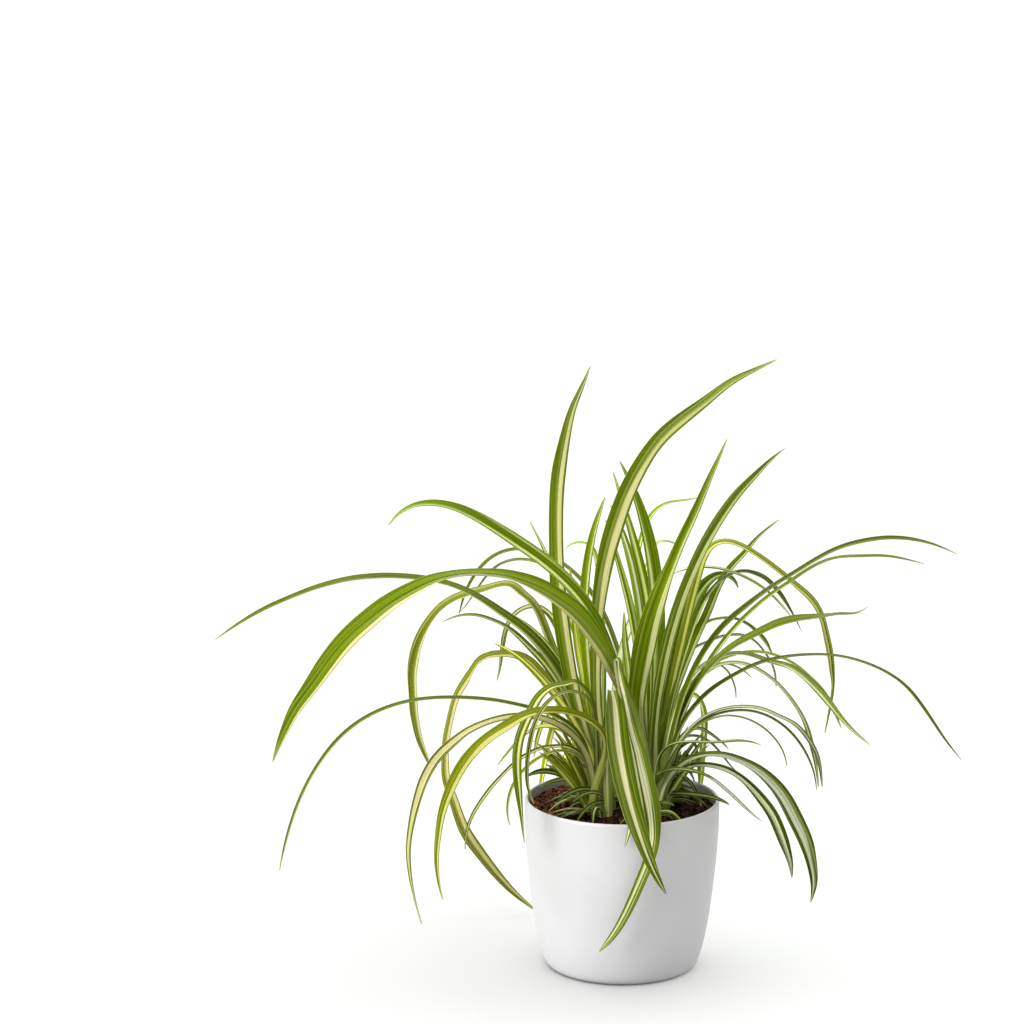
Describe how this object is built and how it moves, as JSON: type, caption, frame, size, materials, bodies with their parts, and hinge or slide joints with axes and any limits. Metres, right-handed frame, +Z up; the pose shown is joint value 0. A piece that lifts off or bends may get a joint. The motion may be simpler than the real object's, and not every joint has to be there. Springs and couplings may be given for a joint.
{
  "type": "potted spider plant",
  "caption": "Potted variegated spider plant: arching green leaves with cream stripes growing from a plain white tapering pot of soil.",
  "frame": {"origin": "centre of the flat underside of the pot, where it rests on a table", "axes": "+Z up the pot's axis, +X to the right and -Y towards the viewer in the picture"},
  "size_m": [0.4958, 0.254, 0.4205],
  "materials": {
    "pot": "satin",
    "soil": "matte",
    "crown": "satin",
    "leaf_olive": "satin",
    "leaf_fresh": "satin",
    "leaf_dark": "satin",
    "leaf_cream": "satin",
    "leaf_yellow": "satin",
    "leaf_deep": "satin"
  },
  "bodies": {
    "root": {"pot": "pot", "soil": "soil", "leaf_upright_1": "leaf_olive", "leaf_upright_2": "leaf_olive", "leaf_upright_3": "leaf_olive", "leaf_upright_4": "leaf_olive", "leaves_back_centre_upright": "leaf_olive", "leaf_upright_5": "leaf_dark", "leaf_upright_6": "leaf_fresh", "leaf_upright_7": "leaf_fresh", "leaf_upright_8": "leaf_yellow", "leaf_upright_9": "leaf_dark", "leaf_upright_10": "leaf_dark", "leaf_upright_11": "leaf_cream", "leaf_upright_12": "leaf_dark", "leaves_back_right_arching": "leaf_dark", "leaves_back_left_rising": "leaf_olive", "leaf_right_1": "leaf_fresh", "leaf_right_2": "leaf_fresh", "leaf_right_3": "leaf_fresh", "leaf_right_4": "leaf_fresh", "leaf_right_5": "leaf_fresh", "leaf_right_6": "leaf_dark", "leaf_right_7": "leaf_fresh", "leaves_back_right_short": "leaf_fresh", "leaf_right_8": "leaf_fresh", "leaf_right_9": "leaf_fresh", "leaf_right_10": "leaf_fresh", "leaves_front_right_low": "leaf_dark", "leaf_right_11": "leaf_yellow", "leaf_right_12": "leaf_cream", "leaf_right_13": "leaf_cream", "leaf_right_14": "leaf_cream", "leaf_right_15": "leaf_dark", "leaf_front_1": "leaf_deep", "leaf_front_2": "leaf_cream", "leaf_front_3": "leaf_deep", "leaf_left_1": "leaf_dark", "leaf_left_2": "leaf_olive", "leaf_left_3": "leaf_olive", "leaf_left_4": "leaf_dark", "leaf_left_5": "leaf_olive", "leaf_left_6": "leaf_cream", "leaf_left_7": "leaf_dark", "leaf_left_8": "leaf_cream", "leaf_left_9": "leaf_dark", "leaf_left_10": "leaf_cream", "leaf_left_11": "leaf_dark", "leaf_left_12": "leaf_cream", "leaf_left_13": "leaf_cream", "leaf_left_14": "leaf_cream", "leaf_left_15": "leaf_yellow", "leaf_left_16": "leaf_yellow", "leaves_back_left_short": "leaf_yellow", "crown_left": "crown", "crown_right": "crown", "leaf_upright_13": "leaf_olive", "leaf_upright_14": "leaf_olive", "leaf_left_17": "leaf_yellow", "leaf_left_18": "leaf_olive"}
  },
  "joints": []
}
